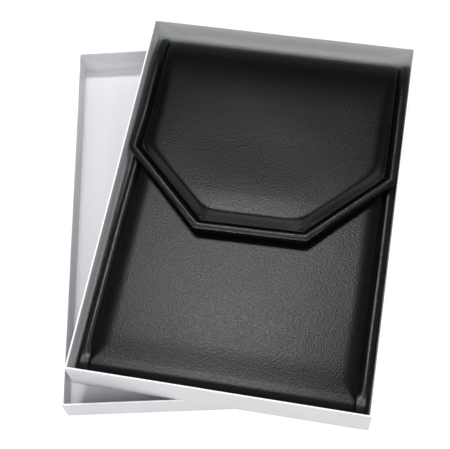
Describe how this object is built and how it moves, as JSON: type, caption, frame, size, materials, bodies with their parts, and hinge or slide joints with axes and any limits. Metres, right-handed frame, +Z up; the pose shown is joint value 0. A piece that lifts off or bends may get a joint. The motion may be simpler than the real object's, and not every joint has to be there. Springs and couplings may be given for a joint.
{
  "type": "card deck box",
  "caption": "Flat padded leatherette card case with an envelope flap, lying in the tray of a rigid paper box that stands on its upturned lid.",
  "frame": {"origin": "on the ground, under the middle of the whole set's footprint", "axes": "+X across the case to its right, +Y along the case towards its spine, +Z up"},
  "size_m": [0.2362, 0.2922, 0.0515],
  "materials": {
    "leatherette": "fine-grained soft semi-gloss black leatherette",
    "thread": "black polyester thread",
    "lining": "black suede-like lining cloth",
    "greyboard": "uncoated grey board",
    "white_board": "smooth white-lined board",
    "wrap_paper": "smooth satin white paper",
    "corner_paper": "gummed paper",
    "foam": "soft polyurethane foam",
    "magnet": "nickel-plated magnet",
    "keeper_steel": "plain steel"
  },
  "bodies": {
    "lid": {"lid_board": "white_board", "lid_corner_papers": "corner_paper", "lid_wrap": "wrap_paper"},
    "tray": {"tray_board": "white_board", "tray_corner_papers": "corner_paper", "tray_wrap": "wrap_paper"},
    "case": {"back_cover": "leatherette", "bottom_fold": "leatherette", "spine_strip": "leatherette", "back_board": "greyboard", "back_lining": "lining", "front_lining": "lining", "front_board": "greyboard", "front_foam": "foam", "front_cover": "leatherette", "left_border": "leatherette", "right_border": "leatherette", "left_gusset": "leatherette", "right_gusset": "leatherette", "body_stitching": "thread", "front_keeper": "keeper_steel"},
    "flap": {"flap_lining": "lining", "flap_board": "greyboard", "flap_foam": "foam", "flap_cover": "leatherette", "flap_border": "leatherette", "flap_stitching": "thread", "flap_magnet": "magnet"}
  },
  "joints": [
    {"name": "tray_lift", "type": "slide", "parent": "lid", "child": "tray", "axis": [0, 0, 1], "range_m": [0, 0.08]},
    {"name": "case_lift", "type": "slide", "parent": "tray", "child": "case", "axis": [0, 0, 1], "range_m": [0, 0.06]},
    {"name": "flap_fold", "type": "hinge", "parent": "case", "child": "flap", "pos_m": [0, 0.1131, 0.03947], "axis": [-1, 0, 0], "range_deg": [0, 100]}
  ]
}
